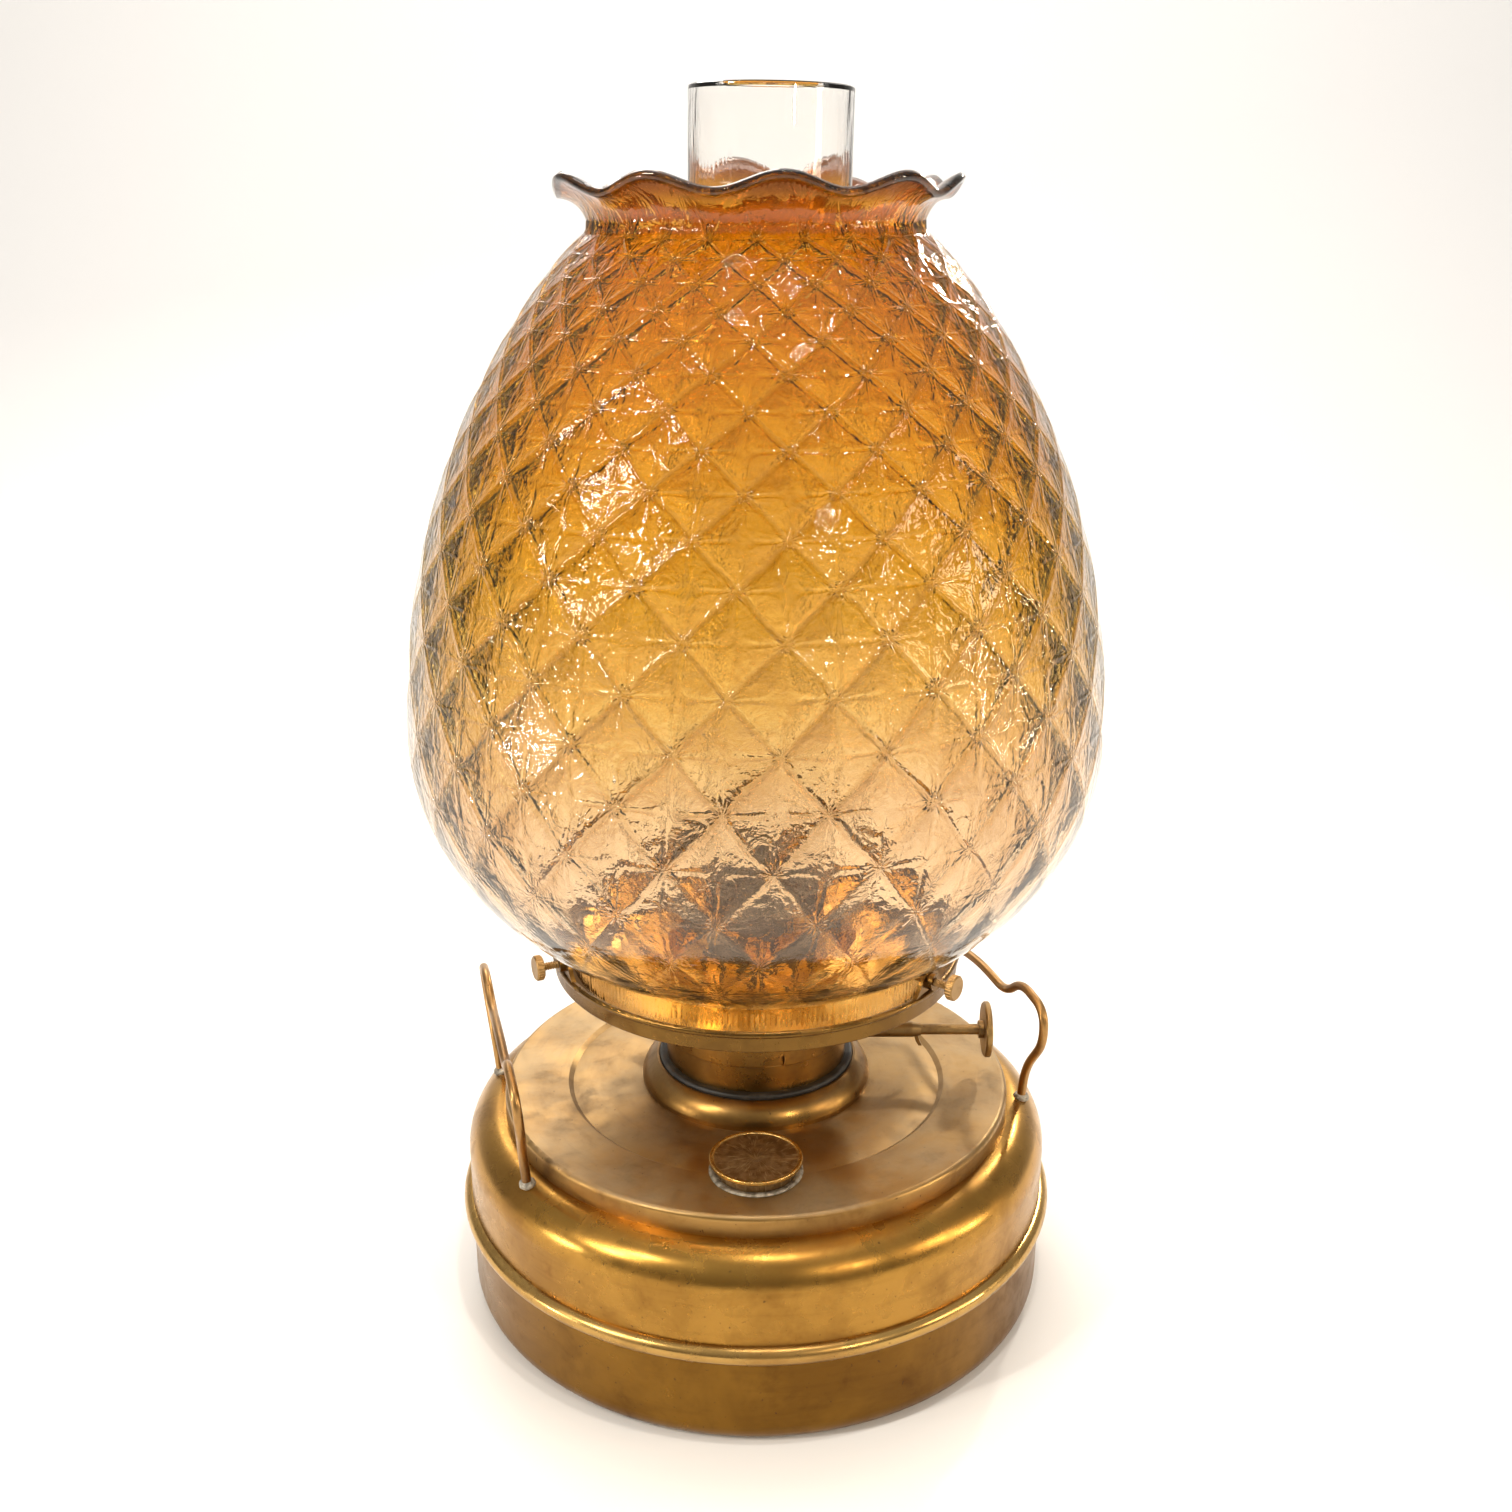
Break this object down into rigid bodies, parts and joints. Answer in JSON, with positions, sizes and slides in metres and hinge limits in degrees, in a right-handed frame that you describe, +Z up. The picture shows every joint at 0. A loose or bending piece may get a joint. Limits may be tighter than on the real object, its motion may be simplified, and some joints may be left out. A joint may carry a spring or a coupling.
{
  "type": "oil lamp",
  "caption": "Table oil lamp: drum-shaped brass fuel tank with wire handles, round-wick burner, clear glass chimney and quilted amber glass shade held by thumb screws.",
  "frame": {"origin": "centre of the tank's flat base, on the surface it stands on", "axes": "+Z up along the chimney, +X towards the wick knob, -Y towards the filler cap"},
  "size_m": [0.2148, 0.2148, 0.381],
  "materials": {
    "tank_brass": "aged satin, brown patina",
    "burner_brass": "aged satin",
    "dark_brass": "darkened, dull",
    "sooted_brass": "soot-blackened, dull",
    "solder": "dull grey lead solder",
    "seal_rubber": "matte",
    "gasket_rubber": "matte",
    "cotton": "woven",
    "clear_glass": "clear, polished",
    "amber_glass": "amber at the neck fading to clear, quilted"
  },
  "bodies": {
    "tank": {"tank_base_cup": "tank_brass", "tank_upper_shell": "tank_brass", "tank_seam_bead": "tank_brass", "tank_top_plate": "tank_brass", "burner_collar": "tank_brass", "filler_neck": "tank_brass", "filler_solder": "solder", "handle_wire_left": "dark_brass", "handle_wire_right": "dark_brass", "handle_solder": "solder"},
    "filler_gasket_body": {"filler_gasket": "gasket_rubber"},
    "filler_cap_body": {"filler_cap": "tank_brass"},
    "burner_seal_body": {"burner_seal": "seal_rubber"},
    "burner": {"burner_band": "burner_brass", "bayonet_studs": "burner_brass", "burner_floor": "burner_brass", "outer_wick_tube": "sooted_brass", "inner_draught_tube": "sooted_brass", "draught_duct": "burner_brass", "winder_sleeve": "burner_brass"},
    "winder": {"winder_spindle": "dark_brass", "winder_star_wheels": "dark_brass", "winder_knob": "dark_brass"},
    "wick_body": {"wick": "cotton"},
    "gallery": {"gallery_ring": "burner_brass", "air_strainer": "burner_brass", "chimney_coronet": "burner_brass", "shade_holder_pan": "burner_brass"},
    "chimney_body": {"chimney": "clear_glass"},
    "shade_body": {"shade": "amber_glass"},
    "shade_screw_rod_1_body": {"shade_screw_rod_1": "dark_brass"},
    "shade_screw_1": {"shade_screw_head_1": "dark_brass"},
    "shade_screw_rod_2_body": {"shade_screw_rod_2": "dark_brass"},
    "shade_screw_2": {"shade_screw_head_2": "dark_brass"},
    "shade_screw_rod_3_body": {"shade_screw_rod_3": "dark_brass"},
    "shade_screw_3": {"shade_screw_head_3": "dark_brass"}
  },
  "joints": [
    {"name": "filler_cap_rise", "type": "slide", "parent": "tank", "child": "filler_gasket_body", "axis": [0, 0, 1], "range_m": [0, 0.0024]},
    {"name": "filler_cap_turn", "type": "hinge", "parent": "filler_gasket_body", "child": "filler_cap_body", "pos_m": [0, -0.06, 0.075], "axis": [0, 0, 1], "range_deg": [0, 720]},
    {"name": "burner_rise", "type": "slide", "parent": "tank", "child": "burner_seal_body", "axis": [0, 0, 1], "range_m": [0, 0.0045]},
    {"name": "burner_unscrew", "type": "hinge", "parent": "burner_seal_body", "child": "burner", "pos_m": [0, 0, 0.08], "axis": [0, 0, 1], "range_deg": [0, 1080]},
    {"name": "wick_knob_turn", "type": "hinge", "parent": "burner", "child": "winder", "pos_m": [0.077, 0, 0.0867], "axis": [-1, 0, 0], "range_deg": [-107, 179]},
    {"name": "wick_raise", "type": "slide", "parent": "burner", "child": "wick_body", "axis": [0, 0, 1], "range_m": [-0.006, 0.01]},
    {"name": "gallery_twist", "type": "hinge", "parent": "burner", "child": "gallery", "pos_m": [0, 0, 0.0897], "axis": [0, 0, 1], "range_deg": [0, 30]},
    {"name": "chimney_lift", "type": "slide", "parent": "gallery", "child": "chimney_body", "axis": [0, 0, 1], "range_m": [0, 0.3]},
    {"name": "shade_lift", "type": "slide", "parent": "gallery", "child": "shade_body", "axis": [0, 0, 1], "range_m": [0, 0.3]},
    {"name": "shade_screw_1_retract", "type": "slide", "parent": "gallery", "child": "shade_screw_rod_1_body", "axis": [0.1045, 0.9945, 0], "range_m": [0, 0.0035]},
    {"name": "shade_screw_1_turn", "type": "hinge", "parent": "shade_screw_rod_1_body", "child": "shade_screw_1", "pos_m": [0.00773, 0.07359, 0.1246], "axis": [0.1045, 0.9945, 0], "range_deg": [0, 1800]},
    {"name": "shade_screw_2_retract", "type": "slide", "parent": "gallery", "child": "shade_screw_rod_2_body", "axis": [-0.9135, -0.4067, 0], "range_m": [0, 0.0035]},
    {"name": "shade_screw_2_turn", "type": "hinge", "parent": "shade_screw_rod_2_body", "child": "shade_screw_2", "pos_m": [-0.0676, -0.0301, 0.1246], "axis": [-0.9135, -0.4067, 0], "range_deg": [0, 1800]},
    {"name": "shade_screw_3_retract", "type": "slide", "parent": "gallery", "child": "shade_screw_rod_3_body", "axis": [0.809, -0.5878, 0], "range_m": [0, 0.0035]},
    {"name": "shade_screw_3_turn", "type": "hinge", "parent": "shade_screw_rod_3_body", "child": "shade_screw_3", "pos_m": [0.05987, -0.0435, 0.1246], "axis": [0.809, -0.5878, 0], "range_deg": [0, 1800]}
  ],
  "couplings": [
    {"joint": "filler_cap_rise", "follows": "filler_cap_turn", "m_per_rad": 0.00019098},
    {"joint": "burner_rise", "follows": "burner_unscrew", "m_per_rad": 0.00023873},
    {"joint": "wick_raise", "follows": "wick_knob_turn", "m_per_rad": 0.0032},
    {"joint": "shade_screw_1_turn", "follows": "shade_screw_1_retract", "rad_per_m": 8975},
    {"joint": "shade_screw_2_turn", "follows": "shade_screw_2_retract", "rad_per_m": 8975},
    {"joint": "shade_screw_3_turn", "follows": "shade_screw_3_retract", "rad_per_m": 8975}
  ]
}
